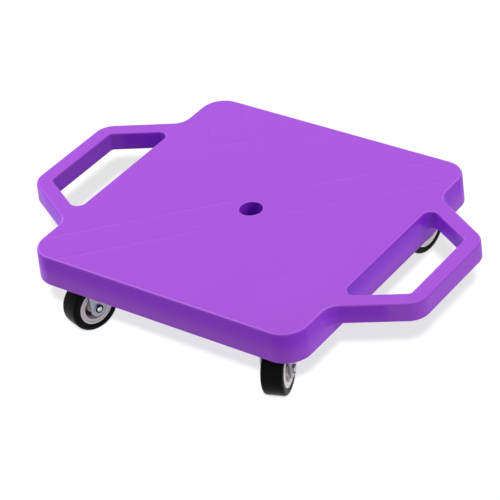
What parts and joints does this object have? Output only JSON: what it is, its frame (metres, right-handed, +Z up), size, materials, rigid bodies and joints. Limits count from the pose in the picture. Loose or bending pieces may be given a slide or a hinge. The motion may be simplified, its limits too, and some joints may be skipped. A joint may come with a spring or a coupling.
{
  "type": "scooter board",
  "caption": "Square moulded plastic scooter board with a loop handle on each side and a swivel caster under each corner.",
  "frame": {"origin": "on the floor under the middle of the deck", "axes": "+Z up, +X towards the right handle, -Y towards the front edge nearest the viewer of the picture"},
  "size_m": [0.433, 0.3018, 0.0885],
  "materials": {
    "purple_plastic": "satin moulded polyethylene",
    "zinc_plate": "bright zinc plated steel",
    "bright_steel": "bright steel",
    "grey_plastic": "satin moulded plastic",
    "black_rubber": "smooth black tread rubber"
  },
  "bodies": {
    "deck": {"deck": "purple_plastic", "front_left_mounting_plate": "zinc_plate", "front_left_kingpin": "bright_steel", "front_left_race_cup": "zinc_plate", "front_left_plate_screw_1": "zinc_plate", "front_left_plate_screw_2": "zinc_plate", "front_left_plate_screw_3": "zinc_plate", "front_left_plate_screw_4": "zinc_plate", "front_right_mounting_plate": "zinc_plate", "front_right_kingpin": "bright_steel", "front_right_race_cup": "zinc_plate", "front_right_plate_screw_1": "zinc_plate", "front_right_plate_screw_2": "zinc_plate", "front_right_plate_screw_3": "zinc_plate", "front_right_plate_screw_4": "zinc_plate", "back_left_mounting_plate": "zinc_plate", "back_left_kingpin": "bright_steel", "back_left_race_cup": "zinc_plate", "back_left_plate_screw_1": "zinc_plate", "back_left_plate_screw_2": "zinc_plate", "back_left_plate_screw_3": "zinc_plate", "back_left_plate_screw_4": "zinc_plate", "back_right_mounting_plate": "zinc_plate", "back_right_kingpin": "bright_steel", "back_right_race_cup": "zinc_plate", "back_right_plate_screw_1": "zinc_plate", "back_right_plate_screw_2": "zinc_plate", "back_right_plate_screw_3": "zinc_plate", "back_right_plate_screw_4": "zinc_plate"},
    "front_left_caster": {"front_left_fork": "zinc_plate", "front_left_axle_rivet": "bright_steel", "front_left_axle_sleeve": "bright_steel"},
    "front_left_wheel": {"front_left_wheel_hub": "grey_plastic", "front_left_tyre": "black_rubber"},
    "front_right_caster": {"front_right_fork": "zinc_plate", "front_right_axle_rivet": "bright_steel", "front_right_axle_sleeve": "bright_steel"},
    "front_right_wheel": {"front_right_wheel_hub": "grey_plastic", "front_right_tyre": "black_rubber"},
    "back_left_caster": {"back_left_fork": "zinc_plate", "back_left_axle_rivet": "bright_steel", "back_left_axle_sleeve": "bright_steel"},
    "back_left_wheel": {"back_left_wheel_hub": "grey_plastic", "back_left_tyre": "black_rubber"},
    "back_right_caster": {"back_right_fork": "zinc_plate", "back_right_axle_rivet": "bright_steel", "back_right_axle_sleeve": "bright_steel"},
    "back_right_wheel": {"back_right_wheel_hub": "grey_plastic", "back_right_tyre": "black_rubber"}
  },
  "joints": [
    {"name": "front_left_swivel", "type": "hinge", "parent": "deck", "child": "front_left_caster", "pos_m": [-0.10115, -0.1074, 0.057], "axis": [0, 0, 1], "continuous": true},
    {"name": "front_left_wheel_spin", "type": "hinge", "parent": "front_left_caster", "child": "front_left_wheel", "pos_m": [-0.10538, -0.12123, 0.025], "axis": [0.9563, -0.2924, 0], "continuous": true},
    {"name": "front_right_swivel", "type": "hinge", "parent": "deck", "child": "front_right_caster", "pos_m": [0.10115, -0.1074, 0.057], "axis": [0, 0, 1], "continuous": true},
    {"name": "front_right_wheel_spin", "type": "hinge", "parent": "front_right_caster", "child": "front_right_wheel", "pos_m": [0.10595, -0.12104, 0.025], "axis": [0.9432, 0.3322, 0], "continuous": true},
    {"name": "back_left_swivel", "type": "hinge", "parent": "deck", "child": "back_left_caster", "pos_m": [-0.10115, 0.1074, 0.057], "axis": [0, 0, 1], "continuous": true},
    {"name": "back_left_wheel_spin", "type": "hinge", "parent": "back_left_caster", "child": "back_left_wheel", "pos_m": [-0.10586, 0.12107, 0.025], "axis": [-0.9455, -0.3256, 0], "continuous": true},
    {"name": "back_right_swivel", "type": "hinge", "parent": "deck", "child": "back_right_caster", "pos_m": [0.10115, 0.1074, 0.057], "axis": [0, 0, 1], "continuous": true},
    {"name": "back_right_wheel_spin", "type": "hinge", "parent": "back_right_caster", "child": "back_right_wheel", "pos_m": [0.10289, 0.12176, 0.025], "axis": [-0.9928, 0.1201, 0], "continuous": true}
  ]
}
